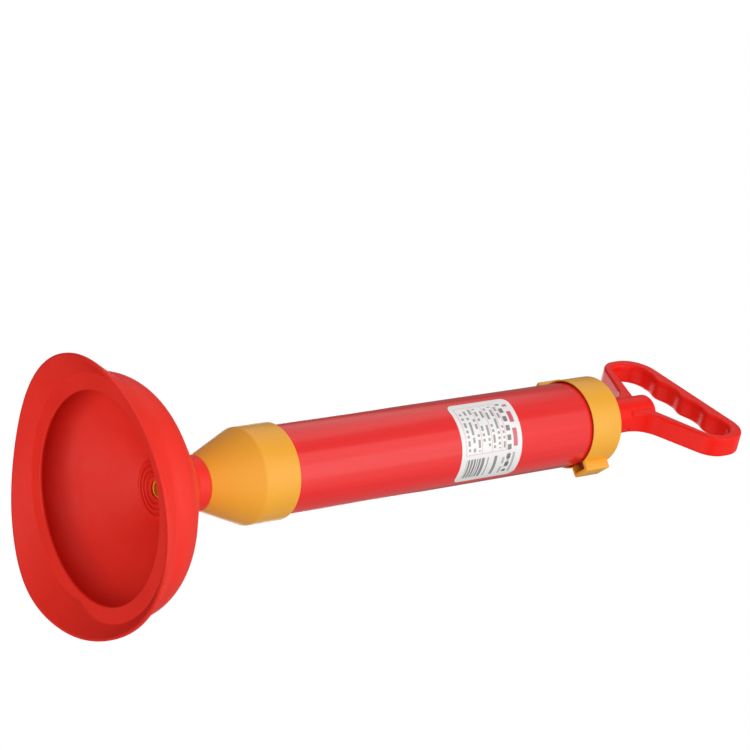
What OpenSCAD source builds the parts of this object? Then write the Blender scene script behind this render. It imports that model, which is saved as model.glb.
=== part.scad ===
// Toilet plunger of the pump type: rubber cup, cone, barrel, end cap,
// and a piston on a rod with a stirrup handle.
// +Z runs along the barrel from the cup to the handle. Z = 0 is the plane of the cup's lip.
// The handle's bar runs along X. All lengths are in millimetres.

/* [Suction cup] */
// Outer diameter of the thin lip
lip_d = 150; // [146:1:156]
// Depth from the lip's plane to the flat rim
lip_h = 8; // [7:0.5:9]
// Diameter of the opening in the flat rim
mouth_d = 114; // [110:1:116]
// Outer diameter of the bowl at its widest
bowl_d = 133; // [132:1:134]
// Radius of the bowl's shoulder, seen in section
shoulder_r = 22; // [21:1:23]
// Wall thickness of the bowl at its shoulder
cup_wall = 5; // [4:0.5:5.5]
// Depth of the bowl's floor above the lip's plane
floor_z = 44; // [43:0.5:46]
// Height of the neck's root above the lip's plane
neck_z = 61; // [60.5:0.5:61.5]
// Length of the neck beyond the bowl
neck_len = 9; // [8:0.5:10]
// Outer diameter of the neck
neck_d = 30.8; // [30.4:0.2:34]
// Diameter of the hole in the bowl's floor, which holds the cone's nozzle
port_d = 12; // [11:0.5:13]
// Number of raised rings around the port
bead_count = 3; // [1:1:4]

/* [Front cone] */
// Length of the cone's tapered part
taper_len = 28; // [26:1:32]
// Length of the skirt that grips the barrel
skirt_len = 22.5; // [20:0.5:26]
// Diameter of the cone where it meets the neck
cone_small_d = 30; // [29.6:0.2:33]
// Wall of the skirt around the barrel
skirt_wall = 2; // [1.5:0.5:3]

/* [Barrel] */
// Outer diameter of the barrel tube
barrel_d = 50; // [50:1:50]
// Wall thickness of the barrel tube
barrel_wall = 2; // [1.8:0.1:2.2]
// Length of barrel that shows between the cone and the end cap
barrel_shows = 215; // [150:5:260]

/* [End cap] */
// Length of the cap's collar
cap_len = 23; // [20:1:26]
// Wall of the cap's collar
cap_wall = 1.5; // [1.5:0.1:2]
// Thickness of the cap's end wall
cap_end = 3; // [2.5:0.5:4]
// Angle of the first lug from the handle's bar
lug_angle = 42; // [0:1:90]
// Angle from the first lug to the second
lug_span = 152; // [150:1:180]
// Width of a lug across the collar
lug_w = 12.5; // [12:0.5:14]
// Height of a lug's outer face from the axis
lug_r = 32; // [31.5:0.5:34]

/* [Rod and piston] */
// Outer diameter of the rod
rod_d = 16; // [16:1:16]
// Wall thickness of the rod tube
rod_wall = 2.5; // [2:0.5:3]
// Radial clearance of every running fit
run_gap = 0.05; // [0.03:0.01:0.08]
// Gap between faces that move past each other
face_gap = 0.3; // [0.3:0.05:0.5]
// Thickness of the piston seal
seal_h = 10; // [8:0.5:11]

/* [Handle] */
// Height of the bar's outer face above the end cap
handle_rise = 84; // [81:1:90]
// Width of the stirrup across its bar
handle_w = 107; // [100:1:116]
// Thickness of the stirrup
handle_t = 13; // [12:0.5:16]
// Thickness of the bar at a finger groove, seen from the flat side
bar_t = 8; // [6:0.5:9]
// Diameter of the boss around the rod
boss_d = 21; // [20:0.5:23]
// Spacing of the finger grooves
finger_pitch = 22.5; // [20:0.5:24]

/* [Label] */
// Length of the label along the barrel
label_len = 45; // [30:1:50]
// Distance from the label to the end cap
label_from_cap = 55; // [20:0.5:80]
// Angle that the label covers around the barrel
label_sweep = 120; // [60:5:170]
// Angle of the label's middle from the handle's bar
label_mid = -27; // [-90:1:90]

/* [Hidden] */
$fn = 96;
eps = 0.01;

// Stations along the axis
cone_z = neck_z + neck_len;
crease_z = cone_z + taper_len;
skirt_z = crease_z + skirt_len;
cap_z = skirt_z + barrel_shows;
cap_top = cap_z + cap_len;
cap_floor = cap_top - cap_end;

// Cup
rim_r = bowl_d / 2 - 0.5;
shoulder_z = 14;
cone_angle = 54;
shoulder_c = bowl_d / 2 - shoulder_r;
dome_angle = 67;
seat_z = neck_z - 3;
nozzle_bore = 4;
nozzle_back = 1.5;
lip_land = 1.4;
lip_edge = 1.2;
bead_r = 0.8;

// Cone and barrel
spigot_r = 12;
barb_h = 1.5;
barb_z = seat_z + 2;
barrel_r = barrel_d / 2;
bore_r = barrel_r - barrel_wall;
gasket_h = 2;
gasket_z = crease_z + 2;
gasket_in = barrel_r - 3;
barrel_z = gasket_z + gasket_h;

// Cap, bush and studs
collar_r = barrel_r + cap_wall;
bush_r = 11;
bush_flange_r = 17;
bush_flange_h = 3;
bumper_h = 6.5;
bumper_r = 19;
bumper_z = cap_floor - bush_flange_h - bumper_h;
bush_z = bumper_z + 4;
stud_r = 2.8;
stud_z = cap_z + 5.5;
stud_reach = lug_r - 2.6;
channel_w = 9.3;
channel_r = lug_r - 2.1;
channel_len = 16;

// Rod
rod_r = rod_d / 2;
rod_in = rod_r - rod_wall;

// Piston stack, from the cone upwards
head_r = 4.5;
head_h = 4;
screw_r = 2.5;
screw_z = gasket_z + 5;
spring_washer_z = screw_z + head_h;
spring_washer_h = 1.2;
washer_z = spring_washer_z + spring_washer_h;
washer_h = 1.5;
washer_r = 9;
journal_r = 6;
plate_h = 4;
rear_plate_h = 5;
plate_r = bore_r - 0.8;
front_plate_z = washer_z + washer_h + face_gap;
seal_z = front_plate_z + plate_h;
rear_plate_z = seal_z + seal_h;
plug_flange_z = rear_plate_z + rear_plate_h + face_gap;
plug_flange_h = 3;
rod_z = plug_flange_z + plug_flange_h;
plug_stem = 24;
screw_depth = 32;

// Handle
boss_z = cap_top + 0.5;
boss_top = boss_z + 44;
boss_r = boss_d / 2;
handle_top = cap_top + handle_rise;
rod_top = boss_top - 8;
pin_r = 2;
pin_z = boss_z + 7;
bar_face = handle_top - bar_t;
groove_h = 2.5;
arm_z = boss_top - 4.6;
bend_r = 15;
bend = [handle_w / 2 - bend_r, handle_top - 21.5];
corner_r = 17;
corner = [handle_w / 2 - corner_r, handle_top - corner_r];
inner_bend_r = 10;
inner_bend = [handle_w / 2 - 16, bar_face - groove_h - inner_bend_r];

// A disc or ring standing on a height
module ring(z, h, r_out, r_in) {
    translate([0, 0, z]) difference() {
        cylinder(h = h, r = r_out);
        translate([0, 0, -1]) cylinder(h = h + 2, r = r_in);
    }
}

// Outer tangent points of two circles given as [x, y, r], on the right-hand side going a to b
function tangent(a, b) =
    let (dx = b[0] - a[0], dy = b[1] - a[1], len = norm([dx, dy]),
        turn = atan2(dy, dx) - acos((a[2] - b[2]) / len))
    [[a[0] + a[2] * cos(turn), a[1] + a[2] * sin(turn)],
     [b[0] + b[2] * cos(turn), b[1] + b[2] * sin(turn)]];

// Convex outline around circles listed anticlockwise, with true arcs at its corners
module rounded(corners) {
    n = len(corners);
    pairs = [for (i = [0 : n - 1]) tangent(corners[i], corners[(i + 1) % n])];
    polygon([for (pair = pairs) for (p = pair) p]);
    for (c = corners) translate([c[0], c[1]]) circle(c[2]);
}

// Quarter of a turn seen in section: the part of a circle above a height
module shoulder(r) {
    intersection() {
        translate([shoulder_c, shoulder_z]) circle(r);
        translate([0, shoulder_z]) square([bowl_d, bowl_d]);
    }
}

// Point of the straight flank that leaves a shoulder of radius r at an angle, at height z
function flank_r(r, angle, z) =
    shoulder_c + r * cos(angle) - (z - shoulder_z - r * sin(angle)) * tan(angle);
function flank_start(r, angle) =
    [shoulder_c + r * cos(angle), shoulder_z + r * sin(angle)];

module cup_outside() {
    shoulder(shoulder_r);
    polygon([[0, shoulder_z], [shoulder_c, shoulder_z], flank_start(shoulder_r, cone_angle),
        [flank_r(shoulder_r, cone_angle, neck_z), neck_z], [0, neck_z]]);
    square([neck_d / 2, cone_z]);
    polygon([[0, lip_h], [rim_r, lip_h], [lip_d / 2 - lip_land, 0], [lip_d / 2, 0],
        [lip_d / 2, lip_edge], [bowl_d / 2 + 0.8, shoulder_z - 2.5],
        [bowl_d / 2, shoulder_z], [0, shoulder_z]]);
}

module cup_hollow() {
    inner_r = shoulder_r - cup_wall;
    roll_r = shoulder_c + inner_r - mouth_d / 2;
    translate([0, -1]) square([mouth_d / 2, shoulder_z + 1]);
    translate([mouth_d / 2, shoulder_z]) circle(roll_r);
    shoulder(inner_r);
    polygon([[0, shoulder_z], [shoulder_c, shoulder_z], flank_start(inner_r, dome_angle),
        [flank_r(inner_r, dome_angle, floor_z), floor_z], [0, floor_z]]);
    square([port_d / 2, cone_z]);
    translate([0, seat_z]) square([spigot_r, cone_z]);
    barb();
}

module barb() {
    polygon([[0, barb_z], [spigot_r, barb_z], [spigot_r + barb_h, barb_z + 2],
        [spigot_r + barb_h, barb_z + 4], [spigot_r, barb_z + 6], [0, barb_z + 6]]);
}

module suction_cup() {
    color("#d8332b") rotate_extrude() {
        difference() {
            cup_outside();
            cup_hollow();
        }
        for (i = [1 : bead_count])
            translate([port_d / 2 + 3 * i - 0.5, floor_z]) circle(bead_r);
    }
}

module front_cone() {
    color("#eda83a") rotate_extrude() difference() {
        union() {
            translate([0, floor_z + nozzle_back]) square([port_d / 2, seat_z - floor_z]);
            translate([0, seat_z]) square([spigot_r, cone_z - seat_z + 1]);
            barb();
            polygon([[0, cone_z], [cone_small_d / 2, cone_z],
                [barrel_r + skirt_wall, crease_z], [barrel_r + skirt_wall, skirt_z - 0.5],
                [barrel_r + skirt_wall - 0.5, skirt_z], [0, skirt_z]]);
        }
        translate([0, floor_z]) square([nozzle_bore, crease_z - floor_z]);
        polygon([[0, cone_z + 2], [nozzle_bore, cone_z + 2], [spigot_r + 1, cone_z + 5],
            [gasket_in, crease_z - 2], [gasket_in, gasket_z + eps], [0, gasket_z + eps]]);
        translate([0, gasket_z]) square([barrel_r, skirt_len]);
    }
}

module cone_seal_ring() {
    color("#26221f") ring(gasket_z, gasket_h, barrel_r, gasket_in);
}

module barrel() {
    color("#c8202a") difference() {
        ring(barrel_z, cap_floor - barrel_z, barrel_r, bore_r);
        for (side = [0, lug_span]) rotate(lug_angle + side) translate([0, 0, stud_z])
            rotate([0, 90, 0]) cylinder(h = barrel_d, r = stud_r);
    }
}

module product_label() {
    skin = 0.2;
    color("#f4f2ee") rotate(label_mid - label_sweep / 2)
        rotate_extrude(angle = label_sweep)
            translate([barrel_r, cap_z - label_from_cap - label_len])
                square([skin, label_len]);
}

module lock_studs() {
    color("#8f1a1c") for (side = [0, lug_span])
        intersection() {
            rotate(lug_angle + side) translate([bore_r - 1, 0, stud_z]) rotate([0, 90, 0])
                cylinder(h = stud_reach - bore_r + 1, r = stud_r);
            ring(stud_z - 2 * stud_r, 4 * stud_r, stud_reach, bore_r + 0.1);
        }
}

module lug() {
    translate([barrel_r - 1, -lug_w / 2, cap_z])
        cube([lug_r - barrel_r + 1, lug_w, cap_len - 4.5]);
}

module lug_channel() {
    translate([barrel_r - 2, -channel_w / 2, cap_z - 1])
        cube([channel_r - barrel_r + 2, channel_w, channel_len + 1]);
}

module rear_cap() {
    color("#f0a93c") difference() {
        union() {
            translate([0, 0, cap_z]) cylinder(h = cap_len, r = collar_r);
            for (side = [0, lug_span]) rotate(lug_angle + side) lug();
        }
        translate([0, 0, cap_z - 1]) cylinder(h = cap_len - cap_end + 1, r = barrel_r);
        translate([0, 0, cap_floor - 1]) cylinder(h = cap_end + 2, r = bush_r);
        for (side = [0, lug_span]) rotate(lug_angle + side) lug_channel();
    }
}

module rod_guide_bush() {
    color("#e9e4d4") difference() {
        union() {
            translate([0, 0, bush_z]) cylinder(h = cap_top - bush_z, r = bush_r);
            translate([0, 0, cap_floor - bush_flange_h])
                cylinder(h = bush_flange_h, r = bush_flange_r);
        }
        translate([0, 0, bumper_z]) cylinder(h = 60, r = rod_r + run_gap);
    }
}

module stop_bumper() {
    color("#2b2826") ring(bumper_z, bumper_h, bumper_r, bush_r);
}

module piston_front_plate() {
    color("#e7e3d8") ring(front_plate_z, plate_h, plate_r, journal_r + run_gap);
}

// Cup seal: a rubber disc with a groove that opens towards the cone, leaving a thin lip
module piston_seal() {
    groove = [plate_r - 3.2, plate_r - 0.6];
    color("#1f1c1b") difference() {
        ring(seal_z, seal_h, bore_r - run_gap, journal_r + run_gap);
        translate([0, 0, seal_z - 1]) difference() {
            cylinder(h = seal_h / 2 + 1, r = groove[1]);
            translate([0, 0, -1]) cylinder(h = seal_h, r = groove[0]);
        }
    }
}

module piston_rear_plate() {
    color("#e7e3d8") ring(rear_plate_z, rear_plate_h, plate_r, journal_r + run_gap);
}

module pin_hole() {
    translate([0, 0, pin_z]) rotate([90, 0, 0])
        cylinder(h = boss_d + 2, r = pin_r, center = true);
}

module piston_rod() {
    color("#ece7da") difference() {
        ring(rod_z, rod_top - rod_z, rod_r, rod_in);
        pin_hole();
    }
}

module rod_end_plug() {
    color("#d9d2bf") difference() {
        union() {
            translate([0, 0, washer_z + washer_h])
                cylinder(h = plug_flange_z - washer_z - washer_h, r = journal_r);
            translate([0, 0, plug_flange_z]) cylinder(h = plug_flange_h, r = rod_r);
            translate([0, 0, rod_z]) cylinder(h = plug_stem, r = rod_in);
        }
        translate([0, 0, washer_z]) cylinder(h = screw_depth, r = screw_r);
    }
}

module piston_washer() {
    color("#b8bcc0") ring(washer_z, washer_h, washer_r, screw_r);
}

module piston_spring_washer() {
    color("#a9adb2") difference() {
        ring(spring_washer_z, spring_washer_h, head_r, screw_r);
        translate([0, -0.5, spring_washer_z - 1]) cube([head_r + 1, 1, spring_washer_h + 2]);
    }
}

module piston_screw() {
    slot = [2 * head_r + 2, 1.2, 1.4];
    color("#c2c6ca") difference() {
        union() {
            translate([0, 0, screw_z]) cylinder(h = head_h, r = head_r);
            translate([0, 0, screw_z + head_h])
                cylinder(h = washer_z + screw_depth - screw_z - head_h - 2, r = screw_r);
        }
        translate([-slot[0] / 2, -slot[1] / 2, screw_z - 1])
            cube([slot[0], slot[1], slot[2] + 1]);
    }
}

// Flat outline of the stirrup, in the plane of X and Z
module stirrup_outside() {
    rounded([[0, arm_z, boss_r], [bend[0], bend[1], bend_r], [corner[0], corner[1], corner_r],
        [-corner[0], corner[1], corner_r], [-bend[0], bend[1], bend_r]]);
}

// Opening for the hand, with four finger grooves in the bar
module stirrup_opening() {
    base = [0, arm_z - 0.9, 1];
    groove_r = (pow(finger_pitch / 2, 2) + pow(groove_h, 2)) / (2 * groove_h);
    rounded([base, [inner_bend[0], inner_bend[1], inner_bend_r],
        [-inner_bend[0], inner_bend[1], inner_bend_r]]);
    intersection() {
        for (i = [-1.5 : 1 : 1.5])
            translate([i * finger_pitch, bar_face - groove_r]) circle(groove_r);
        rounded([base, [inner_bend[0], inner_bend[1], inner_bend_r],
            [inner_bend[0] - 1, bar_face - inner_bend_r, inner_bend_r],
            [1 - inner_bend[0], bar_face - inner_bend_r, inner_bend_r],
            [-inner_bend[0], inner_bend[1], inner_bend_r]]);
    }
}

// Web that flares from the boss into an arm along a hollow curve
module arm_root() {
    flare_r = 16;
    line = tangent([0, arm_z, boss_r], [bend[0], bend[1], bend_r]);
    slope = atan2(line[1][1] - line[0][1], line[1][0] - line[0][0]);
    arc_end = [boss_r + flare_r * (1 - sin(slope)), flare_r * cos(slope)];
    foot = line[0][1] + (arc_end[0] - line[0][0]) * tan(slope) - arc_end[1];
    difference() {
        translate([0, foot]) square(arc_end);
        translate([boss_r + flare_r, foot]) circle(flare_r);
    }
}

module handle() {
    color("#e3222a") difference() {
        union() {
            rotate([90, 0, 0]) linear_extrude(height = handle_t, center = true) {
                difference() {
                    stirrup_outside();
                    stirrup_opening();
                }
                arm_root();
                mirror([1, 0]) arm_root();
            }
            translate([0, 0, boss_z]) cylinder(h = boss_top - boss_z, r = boss_r);
        }
        translate([0, 0, boss_z - 1]) cylinder(h = rod_top - boss_z + 1, r = rod_r);
        pin_hole();
    }
}

module handle_pin() {
    color("#b4181e") translate([0, 0, pin_z]) rotate([90, 0, 0])
        cylinder(h = boss_d - 0.6, r = pin_r, center = true);
}

suction_cup();
front_cone();
cone_seal_ring();
barrel();
product_label();
lock_studs();
rear_cap();
rod_guide_bush();
stop_bumper();
piston_front_plate();
piston_seal();
piston_rear_plate();
piston_rod();
rod_end_plug();
piston_washer();
piston_spring_washer();
piston_screw();
handle();
handle_pin();
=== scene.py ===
"""Looks of the pump plunger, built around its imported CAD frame.

Lengths in the shape code are millimetres in the CAD frame: +Z runs along the barrel
from the cup to the handle, and the handle's bar lies along X.
"""
import math

import bmesh
import bpy
import numpy as np
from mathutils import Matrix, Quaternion, Vector


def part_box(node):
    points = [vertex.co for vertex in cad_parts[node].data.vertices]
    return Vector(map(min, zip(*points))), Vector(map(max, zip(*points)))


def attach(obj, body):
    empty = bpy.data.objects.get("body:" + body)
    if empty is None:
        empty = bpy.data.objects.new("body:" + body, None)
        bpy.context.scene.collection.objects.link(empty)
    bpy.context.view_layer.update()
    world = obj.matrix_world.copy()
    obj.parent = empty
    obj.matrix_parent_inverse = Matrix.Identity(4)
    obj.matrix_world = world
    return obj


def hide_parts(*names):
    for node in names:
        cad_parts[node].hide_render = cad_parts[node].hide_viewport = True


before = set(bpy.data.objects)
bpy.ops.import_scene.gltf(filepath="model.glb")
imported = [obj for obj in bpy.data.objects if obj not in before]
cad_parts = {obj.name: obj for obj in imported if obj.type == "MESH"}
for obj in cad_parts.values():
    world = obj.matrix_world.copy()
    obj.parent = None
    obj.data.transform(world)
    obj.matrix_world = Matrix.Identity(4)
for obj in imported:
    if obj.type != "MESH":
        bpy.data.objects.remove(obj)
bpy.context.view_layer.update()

MM = 0.001


def ends(node):
    """Lowest and highest corner of a CAD node in millimetres."""
    low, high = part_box(node)
    return low / MM, high / MM


# ---------------------------------------------------------------- places from the frame

LIP_R = ends("suction_cup")[1].x
NECK_END = ends("suction_cup")[1].z
CONE_LOW, CONE_HIGH = ends("front_cone")
BARREL_LOW, BARREL_HIGH = ends("barrel")
CAP_LOW, CAP_HIGH = ends("rear_cap")
ROD_LOW, ROD_HIGH = ends("piston_rod")
BUSH_LOW, BUSH_HIGH = ends("rod_guide_bush")
HANDLE_LOW, HANDLE_HIGH = ends("handle")
PIN_LOW, PIN_HIGH = ends("handle_pin")
LABEL_LOW, LABEL_HIGH = ends("product_label")
BARREL_R = BARREL_HIGH.x
BORE_R = BARREL_R - 2
ROD_R = ROD_HIGH.x
BOSS_R = HANDLE_HIGH.y

# Places round Z of the collar's two lugs. The photograph shows the first one. The second
# is a guess from a sliver of yellow above the tube.
LUG_ANGLES = (math.radians(42), math.radians(194))
LUG_HALF = 6.25
LUG_R = 32
CHANNEL_HALF = 4.65
CHANNEL_R = 29.9
STUD_R = 2.8
STUD_REACH = 29.3
STUD_UP = 5.5

LABEL_SWEEP = math.radians(120)
LABEL_MIDDLE = math.radians(-27)
LABEL_CORNER = 4.5

BOSS_LENGTH = 44
LOOP_THICKNESS = 13.0
OUTER_EDGE = 1.3
INNER_EDGE = 2.6


# ---------------------------------------------------------------- shape helpers

def arc(cx, cy, radius, start, stop, steps=12):
    """Points of an arc, in degrees from start to stop."""
    turns = [math.radians(start + (stop - start) * i / steps) for i in range(steps + 1)]
    return [(cx + radius * math.cos(a), cy + radius * math.sin(a)) for a in turns]


def filleted(corners, steps=5):
    """Closed outline through corners given as (x, y) or (x, y, fillet radius)."""
    out = []
    count = len(corners)
    for i, corner in enumerate(corners):
        here = Vector(corner[:2])
        radius = corner[2] if len(corner) > 2 else 0
        if not radius:
            out.append(tuple(here))
            continue
        back = Vector(corners[i - 1][:2]) - here
        ahead = Vector(corners[(i + 1) % count][:2]) - here
        half = back.angle(ahead) / 2
        reach = min(radius / math.tan(half), 0.49 * back.length, 0.49 * ahead.length)
        radius = reach * math.tan(half)
        centre = here + (back.normalized() + ahead.normalized()).normalized() * (
            radius / math.sin(half))
        first = here + back.normalized() * reach - centre
        last = here + ahead.normalized() * reach - centre
        sweep = first.angle_signed(last)
        for k in range(steps + 1):
            turn = -sweep * k / steps
            c, s = math.cos(turn), math.sin(turn)
            out.append((centre.x + first.x * c - first.y * s,
                        centre.y + first.x * s + first.y * c))
    return out


def make_object(name, verts, faces, uvs=None, crease=35):
    """Mesh object from millimetre vertices, smooth except at edges sharper than crease."""
    mesh = bpy.data.meshes.new(name)
    mesh.from_pydata([tuple(c * MM for c in v) for v in verts], [], faces)
    if uvs:
        layer = mesh.uv_layers.new(name="surface")
        for polygon in mesh.polygons:
            for loop, uv in zip(polygon.loop_indices, uvs[polygon.index]):
                layer.data[loop].uv = uv
    obj = bpy.data.objects.new(name, mesh)
    bpy.context.scene.collection.objects.link(obj)
    tidy_normals(obj, crease)
    return obj


def tidy_normals(obj, crease):
    """Faces turned outwards and shaded smooth, except at edges sharper than crease."""
    work = bmesh.new()
    work.from_mesh(obj.data)
    bmesh.ops.recalc_face_normals(work, faces=work.faces)
    work.to_mesh(obj.data)
    work.free()
    for polygon in obj.data.polygons:
        polygon.use_smooth = True
    obj.data.set_sharp_from_angle(angle=math.radians(crease))


def lathe(name, outline, segments=144, warp=None, crease=35):
    """Solid of revolution about Z. outline is a closed list of (r, z)."""
    verts, rings = [], []
    for r, z in outline:
        if r < 1e-6:
            rings.append([len(verts)])
            verts.append((0, 0, z))
            continue
        rings.append(list(range(len(verts), len(verts) + segments)))
        for k in range(segments):
            a = 2 * math.pi * k / segments
            rr, zz = warp(r, z, a) if warp else (r, z)
            verts.append((rr * math.cos(a), rr * math.sin(a), zz))
    faces, uvs = [], []
    along = 0
    for i, ring in enumerate(rings):
        nxt = rings[(i + 1) % len(rings)]
        if len(ring) == 1 and len(nxt) == 1:
            continue
        p, q = outline[i], outline[(i + 1) % len(outline)]
        step = math.dist(p, q)
        for k in range(segments):
            j = (k + 1) % segments
            corners = []
            for index, source, v in ((k, ring, along), (j, ring, along),
                                     (j, nxt, along + step), (k, nxt, along + step)):
                vertex = source[index] if len(source) > 1 else source[0]
                turn = k + 1 if index == j else k
                if all(vertex != c[0] for c in corners):
                    corners.append((vertex, (turn / segments, v / 100)))
            faces.append([c[0] for c in corners])
            uvs.append([c[1] for c in corners])
        along += step
    return make_object(name, verts, faces, uvs, crease)


def modified(obj, kind, **settings):
    """Adds a modifier, applies it, and leaves the plain mesh."""
    mod = obj.modifiers.new(kind.lower(), kind)
    for key, value in settings.items():
        setattr(mod, key, value)
    graph = bpy.context.evaluated_depsgraph_get()
    made = bpy.data.meshes.new_from_object(obj.evaluated_get(graph))
    obj.modifiers.clear()
    old = obj.data
    obj.data = made
    bpy.data.meshes.remove(old)


def drop(obj):
    bpy.data.objects.remove(obj, do_unlink=True)


def shaped(obj, tool, operation):
    """Joins a closed tool to a solid or cuts it away, and removes the tool."""
    modified(obj, "BOOLEAN", operation=operation, object=tool, solver="EXACT")
    drop(tool)


def fused(name, parts, voxel, rounds, crease):
    """One moulded skin around overlapping closed parts, with soft inside corners."""
    work = bmesh.new()
    for part in parts:
        work.from_mesh(part.data)
        drop(part)
    mesh = bpy.data.meshes.new(name)
    work.to_mesh(mesh)
    work.free()
    obj = bpy.data.objects.new(name, mesh)
    bpy.context.scene.collection.objects.link(obj)
    modified(obj, "REMESH", mode="VOXEL", voxel_size=voxel * MM)
    modified(obj, "SMOOTH", factor=0.5, iterations=rounds)
    tidy_normals(obj, crease)
    return obj


def block(name, low, high, radius, turn):
    """Box with rounded edges between two corners, turned about Z."""
    work = bmesh.new()
    bmesh.ops.create_cube(work, size=1)
    size = [high[i] - low[i] for i in range(3)]
    middle = [(high[i] + low[i]) / 2 for i in range(3)]
    for v in work.verts:
        v.co = Vector(v.co[i] * size[i] + middle[i] for i in range(3))
    bmesh.ops.bevel(work, geom=work.edges[:], offset=radius, segments=3, profile=0.5,
                    affect="EDGES", clamp_overlap=True)
    spin = Quaternion((0, 0, 1), turn)
    work.verts.index_update()
    verts = [tuple(spin @ v.co) for v in work.verts]
    faces = [[v.index for v in face.verts] for face in work.faces]
    work.free()
    return make_object(name, verts, faces)


def rod_along(name, centre, axis, radius, length, chamfer):
    """Round pin with chamfered ends along any axis."""
    half = length / 2
    obj = lathe(name, [(0, -half), (radius - chamfer, -half), (radius, -half + chamfer),
                       (radius, half - chamfer), (radius - chamfer, half), (0, half)], 48)
    spin = Vector((0, 0, 1)).rotation_difference(Vector(axis))
    for v in obj.data.vertices:
        v.co = spin @ v.co + Vector(centre) * MM
    return obj


# ---------------------------------------------------------------- material helpers

class Shader:
    """A material with short calls for the nodes that the finishes share."""

    def __init__(self, name, roughness, coords="Object", **sockets):
        self.mat = bpy.data.materials.new(name)
        self.mat.use_nodes = True
        self.nodes = self.mat.node_tree.nodes
        self.links = self.mat.node_tree.links
        self.bsdf = self.nodes["Principled BSDF"]
        self.bsdf.inputs["Roughness"].default_value = roughness
        for key, value in sockets.items():
            self.bsdf.inputs[key.replace("_", " ")].default_value = value
        self.place = self.nodes.new("ShaderNodeTexCoord").outputs[coords]

    def node(self, kind, **settings):
        node = self.nodes.new(kind)
        for key, value in settings.items():
            setattr(node, key, value)
        return node

    def feed(self, socket, value):
        if hasattr(value, "is_output"):
            self.links.new(value, socket)
        else:
            socket.default_value = value

    def math(self, operation, *values):
        node = self.node("ShaderNodeMath", operation=operation)
        for socket, value in zip(node.inputs, values):
            self.feed(socket, value)
        return node.outputs[0]

    def stretched(self, scale):
        node = self.node("ShaderNodeMapping")
        self.feed(node.inputs["Vector"], self.place)
        node.inputs["Scale"].default_value = scale
        return node.outputs[0]

    def noise(self, scale, detail=3.0, rough=0.5, vector=None):
        node = self.node("ShaderNodeTexNoise")
        self.feed(node.inputs["Vector"], vector or self.place)
        node.inputs["Scale"].default_value = scale
        node.inputs["Detail"].default_value = detail
        node.inputs["Roughness"].default_value = rough
        return node.outputs["Fac"]

    def spread(self, value, low, high, to_low=0.0, to_high=1.0):
        node = self.node("ShaderNodeMapRange")
        for key, v in zip(("Value", "From Min", "From Max", "To Min", "To Max"),
                          (value, low, high, to_low, to_high)):
            self.feed(node.inputs[key], v)
        return node.outputs["Result"]

    def ramp(self, value, *stops):
        node = self.node("ShaderNodeValToRGB")
        ramp = node.color_ramp
        while len(ramp.elements) < len(stops):
            ramp.elements.new(0.5)
        for element, (position, colour) in zip(ramp.elements, stops):
            element.position = position
            element.color = (*colour, 1)
        self.feed(node.inputs["Fac"], value)
        return node.outputs["Color"]

    def mix(self, factor, a, b):
        node = self.node("ShaderNodeMix", data_type="RGBA")
        self.feed(node.inputs["Factor"], factor)
        for key, value in (("A", a), ("B", b)):
            socket = [s for s in node.inputs if s.name == key and s.type == "RGBA"][0]
            self.feed(socket, value if hasattr(value, "is_output") else (*value, 1))
        return [s for s in node.outputs if s.type == "RGBA"][0]

    def colour(self, value):
        self.links.new(value, self.bsdf.inputs["Base Color"])

    def rough(self, value):
        self.links.new(value, self.bsdf.inputs["Roughness"])

    def bump(self, *layers):
        """Layers are (height, strength, depth in mm)."""
        normal = None
        for height, strength, depth in layers:
            node = self.node("ShaderNodeBump")
            node.inputs["Strength"].default_value = strength
            node.inputs["Distance"].default_value = depth * MM
            self.feed(node.inputs["Height"], height)
            if normal:
                self.links.new(normal, node.inputs["Normal"])
            normal = node.outputs["Normal"]
        self.links.new(normal, self.bsdf.inputs["Normal"])


def dress(obj, material):
    obj.data.materials.clear()
    obj.data.materials.append(material)
    return obj


def linear(r, g, b):
    """Linear colour from display values of 0 to 255."""
    return tuple(((c / 255 + 0.055) / 1.055) ** 2.4 if c > 10 else c / 3295 for c in (r, g, b))


# ---------------------------------------------------------------- materials

def cup_rubber():
    """Red rubber. The darker band just inside the mouth imitates the photograph's shadow."""
    s = Shader("cup_rubber", 0.5, Specular_IOR_Level=0.24)
    cloud = s.noise(28, 4, 0.6)
    fine = s.noise(900, 2, 0.5)
    base = s.ramp(cloud, (0.3, (0.88, 0.022, 0.010)), (0.7, (0.94, 0.029, 0.015)))
    dust = s.spread(s.noise(160, 5, 0.7), 0.56, 0.74, 0, 0.05)
    worn = s.mix(dust, base, (0.85, 0.16, 0.13))
    split = s.node("ShaderNodeSeparateXYZ")
    s.feed(split.inputs[0], s.place)
    x, y, z = split.outputs
    reach = s.math("SQRT", s.math("ADD", s.math("MULTIPLY", x, x), s.math("MULTIPLY", y, y)))
    inside = s.spread(reach, 63 * MM, 64.5 * MM, 1, 0)
    depth = s.math("MULTIPLY", s.spread(z, 8.6 * MM, 10 * MM),
                   s.spread(z, 13 * MM, 28 * MM, 1, 0))
    band = s.math("MULTIPLY", s.math("MULTIPLY", inside, depth),
                  s.spread(s.noise(70, 4, 0.6), 0.3, 0.7, 0.42, 0.58))
    s.colour(s.mix(band, worn, (0.22, 0.004, 0.003)))
    s.rough(s.spread(s.noise(60, 4, 0.65), 0.3, 0.7, 0.4, 0.56))
    s.bump((fine, 0.08, 0.1), (s.noise(120, 3, 0.5), 0.1, 0.3))
    return s.mat


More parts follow.
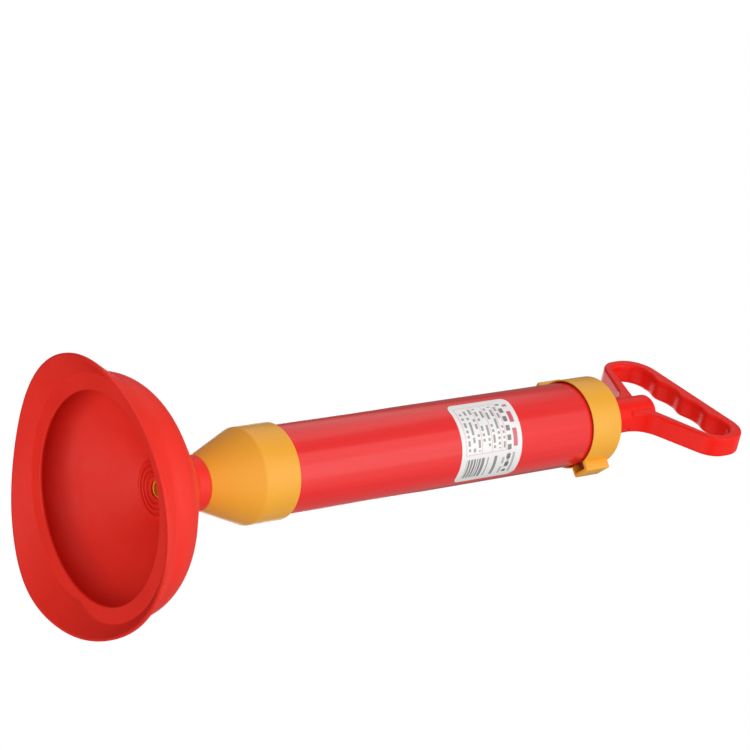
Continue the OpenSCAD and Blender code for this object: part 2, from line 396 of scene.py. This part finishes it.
def yellow_plastic():
    s = Shader("yellow_plastic", 0.36, Specular_IOR_Level=0.42, Subsurface_Weight=0.12,
               Subsurface_Scale=0.004)
    s.bsdf.inputs["Subsurface Radius"].default_value = (1.0, 0.5, 0.2)
    flow = s.noise(20, 4, 0.55, s.stretched((1, 1, 0.35)))
    s.colour(s.ramp(flow, (0.3, (0.97, 0.41, 0.018)), (0.7, (0.99, 0.46, 0.030))))
    s.rough(s.spread(s.noise(90, 4, 0.6), 0.3, 0.7, 0.3, 0.42))
    s.bump((s.noise(700, 2, 0.5), 0.06, 0.08), (s.noise(60, 2, 0.5), 0.06, 0.25))
    return s.mat


def barrel_gloss():
    s = Shader("barrel_gloss", 0.14, Specular_IOR_Level=0.36)
    drawn = s.noise(40, 3, 0.5, s.stretched((6, 6, 0.25)))
    s.colour(s.ramp(drawn, (0.3, (0.85, 0.020, 0.020)), (0.7, (0.90, 0.025, 0.024))))
    scuff = s.noise(120, 6, 0.75, s.stretched((3, 3, 0.4)))
    s.rough(s.spread(scuff, 0.35, 0.75, 0.12, 0.26))
    s.bump((drawn, 0.05, 0.12), (s.noise(300, 2, 0.5), 0.02, 0.05))
    return s.mat


def handle_plastic():
    s = Shader("handle_plastic", 0.26, Specular_IOR_Level=0.13, Subsurface_Weight=0.06,
               Subsurface_Scale=0.003)
    s.bsdf.inputs["Subsurface Radius"].default_value = (1.0, 0.25, 0.15)
    flow = s.noise(35, 4, 0.6)
    s.colour(s.ramp(flow, (0.3, (0.95, 0.012, 0.006)), (0.7, (0.98, 0.018, 0.010))))
    s.rough(s.spread(s.noise(110, 5, 0.65), 0.3, 0.7, 0.24, 0.38))
    s.bump((s.noise(650, 2, 0.5), 0.05, 0.08), (s.noise(80, 3, 0.5), 0.08, 0.25))
    return s.mat


def stud_plastic():
    s = Shader("stud_plastic", 0.4)
    s.colour(s.ramp(s.noise(200, 3, 0.6), (0.3, linear(120, 20, 20)),
                    (0.7, linear(150, 28, 26))))
    s.bump((s.noise(800, 2, 0.5), 0.1, 0.05))
    return s.mat


def ivory_plastic():
    s = Shader("ivory_plastic", 0.35, Subsurface_Weight=0.1, Subsurface_Scale=0.003)
    drawn = s.noise(60, 3, 0.5, s.stretched((5, 5, 0.3)))
    s.colour(s.ramp(drawn, (0.3, linear(226, 221, 206)), (0.7, linear(238, 234, 221))))
    s.rough(s.spread(s.noise(140, 5, 0.7), 0.3, 0.7, 0.28, 0.42))
    s.bump((drawn, 0.05, 0.1))
    return s.mat


def black_rubber():
    s = Shader("black_rubber", 0.6, Specular_IOR_Level=0.4)
    s.colour(s.ramp(s.noise(90, 5, 0.7), (0.3, linear(30, 28, 28)),
                    (0.75, linear(52, 50, 49))))
    s.rough(s.spread(s.noise(200, 4, 0.6), 0.3, 0.7, 0.5, 0.7))
    s.bump((s.noise(900, 2, 0.5), 0.15, 0.08))
    return s.mat


def zinc_steel():
    s = Shader("zinc_steel", 0.3, Metallic=1.0)
    turned = s.noise(900, 2, 0.5, s.stretched((1, 1, 8)))
    s.colour(s.ramp(s.noise(150, 4, 0.6), (0.3, linear(176, 178, 182)),
                    (0.7, linear(206, 208, 210))))
    s.rough(s.spread(turned, 0.3, 0.7, 0.22, 0.38))
    s.bump((turned, 0.1, 0.04))
    return s.mat


def label_paper():
    """White sticker printed with bars, rules and stripes, and no words. across runs along
    the barrel from the cone's side (0) to the cap's side (1), down runs round it."""
    s = Shader("label_paper", 0.28, coords="UV", Coat_Weight=0.5, Coat_Roughness=0.12)
    split = s.node("ShaderNodeSeparateXYZ")
    s.feed(split.inputs[0], s.place)
    across, down = split.outputs[0], split.outputs[1]

    def between(value, low, high):
        return s.math("MULTIPLY", s.math("GREATER_THAN", value, low),
                      s.math("LESS_THAN", value, high))

    def patch(a0, a1, d0, d1):
        return s.math("MULTIPLY", between(across, a0, a1), between(down, d0, d1))

    def both(*masks):
        out = masks[0]
        for m in masks[1:]:
            out = s.math("MULTIPLY", out, m)
        return out

    def either(*masks):
        out = masks[0]
        for m in masks[1:]:
            out = s.math("MAXIMUM", out, m)
        return out

    def cells(rows, columns, seed):
        """Random value of each cell of a grid, as blocks that stand in for type."""
        node = s.node("ShaderNodeTexWhiteNoise", noise_dimensions="3D")
        join = s.node("ShaderNodeCombineXYZ")
        s.feed(join.inputs[0], s.math("FLOOR", s.math("MULTIPLY", across, rows)))
        s.feed(join.inputs[1], s.math("FLOOR", s.math("MULTIPLY", down, columns)))
        join.inputs[2].default_value = seed
        s.links.new(join.outputs[0], node.inputs["Vector"])
        return node.outputs["Value"]

    def rows(count, low, high):
        return between(s.math("FRACT", s.math("MULTIPLY", across, count)), low, high)

    grain = s.noise(300, 3, 0.6)
    paper = s.ramp(grain, (0.3, linear(238, 236, 234)), (0.7, linear(246, 245, 243)))

    heading = both(patch(0.855, 0.925, 0.1, 0.6),
                   s.math("GREATER_THAN", cells(1, 15, 3.0), 0.22))
    title = both(patch(0.755, 0.82, 0.08, 0.92),
                 s.math("GREATER_THAN", s.math("FRACT", s.math("MULTIPLY", down, 9.5)), 0.42))
    small = both(patch(0.09, 0.72, 0.1, 0.6), rows(12, 0.25, 0.7),
                 s.math("GREATER_THAN", cells(12, 34, 7.0), 0.42))
    foot = both(patch(0.66, 0.9, 0.66, 0.93), rows(12, 0.25, 0.7),
                s.math("GREATER_THAN", cells(12, 24, 11.0), 0.5))
    stripes = both(patch(0.09, 0.6, 0.68, 0.93),
                   s.math("GREATER_THAN", cells(62, 0.5, 5.0), 0.5))
    rules = either(*[patch(a - 0.006, a + 0.006, 0.07, 0.63)
                     for a in (0.07, 0.33, 0.5, 0.66, 0.735)],
                   patch(0.07, 0.735, 0.065, 0.073), patch(0.07, 0.735, 0.625, 0.633))

    art = s.mix(s.math("MULTIPLY", rules, 0.55), paper, linear(236, 120, 150))
    art = s.mix(s.math("MULTIPLY", small, 0.7), art, linear(90, 86, 92))
    art = s.mix(s.math("MULTIPLY", foot, 0.55), art, linear(100, 98, 104))
    art = s.mix(s.math("MULTIPLY", stripes, 0.75), art, linear(70, 68, 72))
    art = s.mix(s.math("MULTIPLY", title, 0.8), art, linear(60, 56, 62))
    art = s.mix(s.math("MULTIPLY", heading, 0.9), art, linear(214, 40, 78))
    s.colour(art)
    s.rough(s.spread(grain, 0.3, 0.7, 0.22, 0.34))
    s.bump((grain, 0.05, 0.03))
    return s.mat


# ---------------------------------------------------------------- the red rubber cup

# Z values are heights, R values are radii, and the angles are those of the bowl's flanks
# outside and inside, in degrees. SHOULDER_C is the radius at which the shoulder's arcs
# have their centre.
RIM_Z = 8.0
MOUTH_R = 57.0
SHOULDER_Z = 14.0
SHOULDER_C = 44.5
OUTER_R = 22.0
INNER_R = 17.0
BOWL_ANGLE = 54.0
DOME_ANGLE = 67.0
NECK_Z = 61.0
NECK_R = 15.4
SEAT_Z = 58.0
PORT_R = 6.0
FLOOR_Z = CONE_LOW.z - 1.5


def flank(radius, angle, z):
    """Radius at height z of the straight flank that leaves a shoulder at an angle."""
    a = math.radians(angle)
    start = SHOULDER_Z + radius * math.sin(a)
    return SHOULDER_C + radius * math.cos(a) - (z - start) * math.tan(a)


def lip_wave(r, z, a):
    """The thin lip ripples in three waves, fitted to the photograph's side; the
    thicker rim and bowl stay round."""
    edge = max(0.0, min(1.0, (r - 66.5) / 8.5)) * (1 if z < SHOULDER_Z else 0)
    edge = edge * edge * (3 - 2 * edge)
    ripple = 0.6 + 3.3 * math.cos(3 * (a + 0.09)) + 1.2 * math.cos(a - 2.88)
    ripple += 1.6 * math.exp(-((a - 2.02) / 0.3) ** 2) + 1.6 * math.cos(a - 1.03)
    return r + edge * ripple, z - 0.25 * edge * ripple


def suction_cup():
    beads = []
    for k in (1, 2, 3):
        beads += arc(PORT_R + 3 * k - 0.5, FLOOR_Z, 0.9, 180, 360, 8)
    front = filleted([
        (PORT_R, SEAT_Z, 0.4), (PORT_R, FLOOR_Z + 1.45), (4.7, FLOOR_Z + 1.45, 0.3),
        (4.7, FLOOR_Z, 0.6), *beads,
        (flank(INNER_R, DOME_ANGLE, FLOOR_Z), FLOOR_Z, 30)], 10)
    inner = arc(SHOULDER_C, SHOULDER_Z, INNER_R, DOME_ANGLE, 0, 16)
    roll = arc(MOUTH_R, SHOULDER_Z, 4.5, 0, -90, 10)
    rim = filleted([
        (MOUTH_R, 9.5), (MOUTH_R, RIM_Z, 0.7), (66, RIM_Z, 0.25), (LIP_R - 1.5, 0, 0.5),
        (LIP_R, 0, 0.5), (LIP_R, 1.6, 0.7), (67.4, 11.6, 3), (66.5, SHOULDER_Z)])
    outer = arc(SHOULDER_C, SHOULDER_Z, OUTER_R, 0, BOWL_ANGLE, 16)
    neck = filleted([
        (flank(OUTER_R, BOWL_ANGLE, 40), 40),
        (flank(OUTER_R, BOWL_ANGLE, NECK_Z), NECK_Z - 0.3, 1.2),
        (NECK_R, NECK_Z + 1.4, 1), (NECK_R + 0.1, NECK_END, 1.3), (12.1, NECK_END, 0.4),
        (12.1, 66), (13.5, 64), (13.5, 62), (12.1, 60), (12.1, SEAT_Z + 0.2)])
    outline = front + inner[1:] + roll[1:-1] + rim + outer[1:] + neck
    cup = lathe("cup", outline, 240, lip_wave, 60)
    dress(cup, cup_rubber())
    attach(cup, "barrel")
    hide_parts("suction_cup")


# ---------------------------------------------------------------- yellow front cone

def front_cone():
    top = CONE_HIGH.z
    crease = top - 22.5
    skirt = CONE_HIGH.x
    outline = filleted([
        (4, CONE_LOW.z, 0.4), (PORT_R - 0.03, CONE_LOW.z, 0.5), (PORT_R - 0.03, SEAT_Z),
        (11.4, SEAT_Z, 0.5), (12, 59), (12, 60), (13.4, 62), (13.4, 64),
        (12, 66), (12, NECK_END + 0.05), (15, NECK_END + 0.05, 0.6),
        (skirt, crease, 5), (skirt, top, 0.6), (BARREL_R + 0.02, top, 0.3),
        (BARREL_R + 0.02, BARREL_LOW.z), (22, BARREL_LOW.z - 2), (22, crease - 2, 2),
        (13, NECK_END + 5, 1.5), (4, NECK_END + 2, 1)], 7)
    cone = lathe("cone", outline, 160, crease=45)
    dress(cone, MATERIALS["yellow"])
    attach(cone, "barrel")
    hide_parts("front_cone")


# ---------------------------------------------------------------- barrel, label and studs

def barrel():
    low, high = BARREL_LOW.z, BARREL_HIGH.z
    tube = lathe("barrel_tube", filleted([
        (BORE_R, low, 0.4), (BARREL_R, low, 0.5), (BARREL_R, high, 0.5),
        (BORE_R, high, 0.4)], 4), 200)
    dress(tube, barrel_gloss())
    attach(tube, "barrel")
    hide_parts("barrel")


def product_label():
    low, high = LABEL_LOW.z, LABEL_HIGH.z
    length, width = LABEL_SWEEP * BARREL_R, high - low
    rows_count, columns = 96, 40
    verts, uvs = [], []
    skins = (BARREL_R + 0.16, BARREL_R + 0.02)
    for skin in skins:
        for i in range(rows_count + 1):
            t = i / rows_count
            d = length * (0.5 - 0.5 * math.cos(math.pi * t))
            edge = min(d, length - d)
            inset = 0.0
            if edge < LABEL_CORNER:
                inset = LABEL_CORNER - math.sqrt(LABEL_CORNER ** 2 - (LABEL_CORNER - edge) ** 2)
            a = LABEL_MIDDLE - LABEL_SWEEP / 2 + LABEL_SWEEP * d / length
            for j in range(columns + 1):
                across = inset + (width - 2 * inset) * j / columns
                verts.append((skin * math.cos(a), skin * math.sin(a), low + across))
                uvs.append((across / width, d / length))
    span = columns + 1
    layer = span * (rows_count + 1)
    faces = []
    for i in range(rows_count):
        for j in range(columns):
            a, b = i * span + j, (i + 1) * span + j
            faces.append((a, b, b + 1, a + 1))
            faces.append((a + layer, a + 1 + layer, b + 1 + layer, b + layer))
    border = list(range(span))
    border += [i * span + columns for i in range(1, rows_count + 1)]
    border += [rows_count * span + j for j in range(columns - 1, -1, -1)]
    border += [i * span for i in range(rows_count - 1, 0, -1)]
    for a, b in zip(border, border[1:] + border[:1]):
        faces.append((a, b, b + layer, a + layer))
    label = make_object("label", verts, faces, [[uvs[v] for v in f] for f in faces])
    dress(label, label_paper())
    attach(label, "barrel")
    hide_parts("product_label")


def lock_studs():
    root = BORE_R + 0.2
    height = Vector((0, 0, CAP_LOW.z + STUD_UP))
    for k, a in enumerate(LUG_ANGLES):
        out = Vector((math.cos(a), math.sin(a), 0))
        centre = out * (root + STUD_REACH) / 2 + height
        stud = rod_along(f"stud_{k + 1}", centre, out, STUD_R, STUD_REACH - root, 0.5)
        dress(stud, MATERIALS["stud"])
        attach(stud, "barrel")
        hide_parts("lock_studs")


# ---------------------------------------------------------------- yellow end cap

def rear_cap():
    low, high = CAP_LOW.z, CAP_HIGH.z
    inner = BARREL_R + 0.03
    outer = 26.5
    cap = lathe("cap", filleted([
        (inner, low + 2.2), (BARREL_R + 0.75, low + 0.4, 0.3), (outer, low, 0.5),
        (outer, high, 1.4), (11.05, high, 0.5), (11.05, high - 3), (inner, high - 3)], 5), 160)
    for k, turn in enumerate(LUG_ANGLES):
        lug = block(f"lug_{k}", (25.6, -LUG_HALF, low), (LUG_R, LUG_HALF, high - 4.5), 0.9,
                    turn)
        shaped(cap, lug, "UNION")
    for k, turn in enumerate(LUG_ANGLES):
        channel = block(f"channel_{k}", (23.5, -CHANNEL_HALF, low - 3),
                        (CHANNEL_R, CHANNEL_HALF, low + 16), 0.6, turn)
        shaped(cap, channel, "DIFFERENCE")
    modified(cap, "BEVEL", width=0.35 * MM, segments=2, limit_method="ANGLE",
             angle_limit=math.radians(50), use_clamp_overlap=True)
    tidy_normals(cap, 40)
    dress(cap, MATERIALS["yellow"])
    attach(cap, "barrel")
    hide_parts("rear_cap")


def guide_bush():
    low, high = BUSH_LOW.z, BUSH_HIGH.z
    bore = ROD_R + 0.06
    body = 11
    flange = 17
    bush = lathe("guide_bush", filleted([
        (bore, low, 0.4), (body, low, 0.5), (body, high - 6.05), (flange, high - 6, 0.4),
        (flange, high - 3.05, 0.3), (body, high - 3.02), (body, high - 0.15, 0.4),
        (bore, high - 0.15, 0.9)], 4), 96)
    dress(bush, MATERIALS["ivory"])
    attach(bush, "barrel")
    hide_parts("rod_guide_bush")


# ---------------------------------------------------------------- rod and handle

def piston_rod():
    bore = ROD_R - 2.5
    rod = lathe("rod_tube", filleted([
        (bore, ROD_LOW.z, 0.4), (ROD_R, ROD_LOW.z, 0.5), (ROD_R, ROD_HIGH.z, 0.5),
        (bore, ROD_HIGH.z, 0.4)], 3), 96)
    dress(rod, MATERIALS["ivory"])
    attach(rod, "rod")
    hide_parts("piston_rod")


def ray_hits(outline, centre, angles):
    """Distance from centre to a star-shaped outline in each direction."""
    points = np.array(outline, float) - np.array(centre, float)
    ahead = np.roll(points, -1, axis=0)
    out = []
    for a in angles:
        d = np.array((math.cos(a), math.sin(a)))
        side_a = points @ np.array((-d[1], d[0]))
        side_b = ahead @ np.array((-d[1], d[0]))
        hit = (side_a <= 0) & (side_b > 0)
        share = side_a[hit] / (side_a[hit] - side_b[hit])
        crossing = points[hit] + (ahead[hit] - points[hit]) * share[:, None]
        out.append(float((crossing @ d).max()))
    return np.array(out)


def both_sides(half):
    """Closed outline from its right half, listed from the bottom to the top."""
    return half + [(-x, z) for x, z in reversed(half) if x > 0]


def tangent(a, b):
    """Outer tangent points of two circles (x, z, r), on the right-hand side going a to b."""
    dx, dz = b[0] - a[0], b[1] - a[1]
    turn = math.atan2(dz, dx) - math.acos((a[2] - b[2]) / math.hypot(dx, dz))
    return [(c[0] + c[2] * math.cos(turn), c[1] + c[2] * math.sin(turn)) for c in (a, b)]


def around(circle, start, stop, steps=14):
    """Arc of a circle (x, z, r) anticlockwise between two points on it."""
    x, z, r = circle
    first = math.degrees(math.atan2(start[1] - z, start[0] - x))
    last = math.degrees(math.atan2(stop[1] - z, stop[0] - x))
    return arc(x, z, r, first, last, steps)


def stirrup_outlines():
    """Outer outline and finger opening of the handle's loop."""
    w, top = HANDLE_HIGH.x, HANDLE_HIGH.z
    arm = (0, HANDLE_LOW.z + 39.4, BOSS_R)
    bend = (w - 15, top - 21.5, 15)
    corner = (w - 17, top - 17, 17)
    line = tangent(arm, bend)
    side = tangent(bend, corner)
    slope = math.atan2(line[1][1] - line[0][1], line[1][0] - line[0][0])
    flare = 16.0
    end_x = BOSS_R + flare * (1 - math.sin(slope))
    foot = line[0][1] + (end_x - line[0][0]) * math.tan(slope) - flare * math.cos(slope)
    outer = [(0, foot)]
    outer += arc(BOSS_R + flare, foot, flare, 180, 90 + math.degrees(slope), 12)
    outer += around(bend, line[1], side[0]) + around(corner, side[1], (corner[0], top))
    outer += [(0, top)]

    face, depth, pitch, radius = top - 8, 2.5, 22.5, 10
    bend = (w - 16, face - depth - radius, radius)
    corner = (w - 17, face - radius, radius)
    base = (0, arm[1] - 0.9, 1)
    line = tangent(base, bend)
    side = tangent(bend, corner)
    inner = [(0, base[1] - 1), line[0]] + around(bend, line[1], side[0])
    inner += around(corner, side[1], (corner[0], face), 24)
    for k in range(1, 61):
        x = corner[0] * (1 - k / 60)
        ridge = (0.5 + 0.5 * math.cos(2 * math.pi * x / pitch)) ** 1.5
        inner.append((x, face - depth * ridge * min(1.0, (corner[0] - x) / 6)))
    return both_sides(outer), both_sides(inner)


def stirrup_loop():
    """The loop with rounded edges: matching rings of points round the outside, then
    back through the opening."""
    outer, inner = stirrup_outlines()
    centre = (0, HANDLE_HIGH.z - 26)
    angles = np.linspace(-math.pi, math.pi, 361)[:-1] + 0.003
    ring_out = ray_hits(outer, centre, angles)
    ring_in = ray_hits(inner, centre, angles)
    heads = np.stack([np.cos(angles), np.sin(angles)], 1)
    loops = []
    half = LOOP_THICKNESS / 2
    for radii, sign, edge in ((ring_out, -1, OUTER_EDGE), (ring_in, 1, INNER_EDGE)):
        base = heads * radii[:, None]
        forward = np.roll(base, -1, axis=0) - np.roll(base, 1, axis=0)
        forward /= np.linalg.norm(forward, axis=1)[:, None]
        outward = np.stack([forward[:, 1], -forward[:, 0]], 1)
        rings = []
        for k in range(5):
            turn = math.pi / 2 * k / 4
            inset = edge * (1 - math.sin(turn))
            level = half - edge + edge * math.cos(turn)
            rings.append((inset, level))
        profile = rings + [(i, -y) for i, y in reversed(rings)]
        if sign > 0:
            profile = profile[::-1]
        for inset, level in profile:
            ring = base + outward * (sign * inset)
            loops.append([(x + centre[0], level, z + centre[1]) for x, z in ring])
    count = len(angles)
    verts = [v for ring in loops for v in ring]
    faces = []
    for i in range(len(loops)):
        a, b = i * count, (i + 1) % len(loops) * count
        for k in range(count):
            j = (k + 1) % count
            faces.append((a + k, a + j, b + j, b + k))
    return make_object("loop", verts, faces)


def handle():
    boss_low = HANDLE_LOW.z
    boss_top = boss_low + BOSS_LENGTH
    socket = ROD_R + 0.02
    boss = lathe("boss", filleted([
        (0, ROD_HIGH.z), (socket, ROD_HIGH.z), (socket, boss_low, 0.4),
        (BOSS_R, boss_low, 0.8), (BOSS_R, boss_top, 2.2), (0, boss_top)], 6), 120)
    loop = stirrup_loop()
    bore = lathe("bore", [(0, boss_low - 5), (socket, boss_low - 5), (socket, ROD_HIGH.z),
                          (0, ROD_HIGH.z)], 96)
    shaped(loop, bore, "DIFFERENCE")
    grip = fused("handle_grip", [loop, boss], 0.5, 8, 60)
    dress(grip, handle_plastic())
    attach(grip, "rod")
    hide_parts("handle")


def handle_pin():
    middle = (PIN_LOW + PIN_HIGH) / 2
    pin = rod_along("cross_pin", middle, (0, 1, 0), PIN_HIGH.x, 20.6, 0.5)
    dress(pin, MATERIALS["stud"])
    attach(pin, "rod")
    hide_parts("handle_pin")


# ---------------------------------------------------------------- pieces kept from the CAD

def keep_cad_pieces():
    """Inner pieces whose CAD shape is right take a better finish only."""
    finishes = {"cone_seal_ring": "black", "stop_bumper": "black", "piston_seal": "black",
                "piston_front_plate": "ivory", "piston_rear_plate": "ivory",
                "rod_end_plug": "ivory", "piston_washer": "steel",
                "piston_spring_washer": "steel", "piston_screw": "steel"}
    for node, finish in finishes.items():
        dress(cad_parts[node], MATERIALS[finish])


# ---------------------------------------------------------------- light, floor and camera

def soft_light(name, place, target, size, power):
    data = bpy.data.lights.new(name, "AREA")
    data.shape = "RECTANGLE"
    data.size, data.size_y = size
    data.energy = power
    lamp = bpy.data.objects.new(name, data)
    lamp.location = place
    lamp.rotation_euler = (Vector(target) - Vector(place)).to_track_quat("-Z", "Y").to_euler()
    bpy.context.scene.collection.objects.link(lamp)


def studio():
    """White surround to the camera; soft directional light for the surfaces. The light is
    uneven in order to match the photograph from its own camera."""
    world = bpy.data.worlds.new("studio")
    world.use_nodes = True
    nodes, links = world.node_tree.nodes, world.node_tree.links
    heading = nodes.new("ShaderNodeTexCoord").outputs["Generated"]

    def facing(direction, low, high, to_low, to_high):
        """Strength that goes from to_low to to_high as a heading nears the direction."""
        dot = nodes.new("ShaderNodeVectorMath")
        dot.operation = "DOT_PRODUCT"
        links.new(heading, dot.inputs[0])
        dot.inputs[1].default_value = direction
        fit = nodes.new("ShaderNodeMapRange")
        fit.interpolation_type = "SMOOTHSTEP"
        for key, value in zip(("From Min", "From Max", "To Min", "To Max"),
                              (low, high, to_low, to_high)):
            fit.inputs[key].default_value = value
        links.new(dot.outputs["Value"], fit.inputs["Value"])
        return fit.outputs["Result"]

    def combine(operation, a, b):
        node = nodes.new("ShaderNodeMath")
        node.operation = operation
        for socket, value in zip(node.inputs, (a, b)):
            if hasattr(value, "is_output"):
                links.new(value, socket)
            else:
                socket.default_value = value
        return node.outputs[0]

    # side comes from one half of the surroundings and is dimmed towards +Y and both ends
    # of Z. upper is a patch on the other half, front comes from the cup's end, and fill
    # from all round with more from -Y.
    side = combine("MULTIPLY", facing((0.90, 0.44, 0), -0.02, 0.04, 0, 1.28),
                   facing((0, 1, 0), 0.0, 0.7, 1, 0.2))
    side = combine("MULTIPLY", side, facing((0, 0, -1), 0.0, 0.35, 1, 0.18))
    side = combine("MULTIPLY", side, facing((0, 0, 1), 0.4, 0.9, 1, 0.5))
    upper = combine("MULTIPLY", facing((-0.643, -0.766, 0), 0.62, 0.78, 0, 0.85),
                    facing((0, 0, 1), 0.15, 0.45, 0, 1))
    front = facing((0.22, 0.2, -0.95), 0.72, 0.97, 0, 1.8)
    fill = combine("ADD", facing((0.3, -0.95, 0), 0.1, 0.9, 0, 0.35), 0.19)
    light = combine("ADD", combine("ADD", side, upper), combine("ADD", front, fill))
    ambient = nodes["Background"]
    links.new(light, ambient.inputs["Strength"])
    ambient.inputs["Color"].default_value = (1, 1, 1, 1)
    plain = nodes.new("ShaderNodeBackground")
    plain.inputs["Color"].default_value = (1, 1, 1, 1)
    path = nodes.new("ShaderNodeLightPath")
    mix = nodes.new("ShaderNodeMixShader")
    links.new(path.outputs["Is Camera Ray"], mix.inputs["Fac"])
    links.new(ambient.outputs[0], mix.inputs[1])
    links.new(plain.outputs[0], mix.inputs[2])
    links.new(mix.outputs[0], nodes["World Output"].inputs["Surface"])
    bpy.context.scene.world = world
    bpy.context.scene.view_settings.view_transform = "Standard"

    middle = (0, 0, 0.22)
    soft_light("key", (1.7, -0.5, 1.2), middle, (1.2, 1.2), 4)
    soft_light("rear", (-1.5, 1.1, 0.8), middle, (1.5, 1.5), 14)

    mesh = bpy.data.meshes.new("floor")
    size, level = 25.0, -0.85
    mesh.from_pydata([(-size, -size, level), (size, -size, level), (size, size, level),
                      (-size, size, level)], [], [(0, 1, 2, 3)])
    floor = bpy.data.objects.new("floor", mesh)
    bpy.context.scene.collection.objects.link(floor)
    floor.visible_diffuse = False
    floor.visible_glossy = False
    s = Shader("pale_floor", 0.8)
    s.colour(s.ramp(s.noise(3, 2), (0.3, (0.93, 0.93, 0.93)), (0.7, (0.96, 0.96, 0.96))))
    dress(floor, s.mat)


def camera():
    """Camera fitted to the photograph's perspective."""
    place, aim = Vector((1.0115, -0.6541, -0.7329)), Vector((-0.075, -0.0069, 0.2472))
    roll = math.radians(82.22)
    data = bpy.data.cameras.new("camera")
    data.lens, data.sensor_width = 129.6, 36
    data.clip_start, data.clip_end = 0.05, 90
    cam = bpy.data.objects.new("camera", data)
    cam.location = place
    facing = (aim - place).to_track_quat("-Z", "Y")
    cam.rotation_mode = "QUATERNION"
    cam.rotation_quaternion = facing @ Quaternion((0, 0, 1), roll)
    bpy.context.scene.collection.objects.link(cam)
    bpy.context.scene.camera = cam


MATERIALS = {"yellow": yellow_plastic(), "stud": stud_plastic(), "ivory": ivory_plastic(),
             "black": black_rubber(), "steel": zinc_steel()}

camera()
studio()
suction_cup()
front_cone()
barrel()
product_label()
lock_studs()
rear_cap()
guide_bush()
piston_rod()
handle()
handle_pin()
keep_cad_pieces()
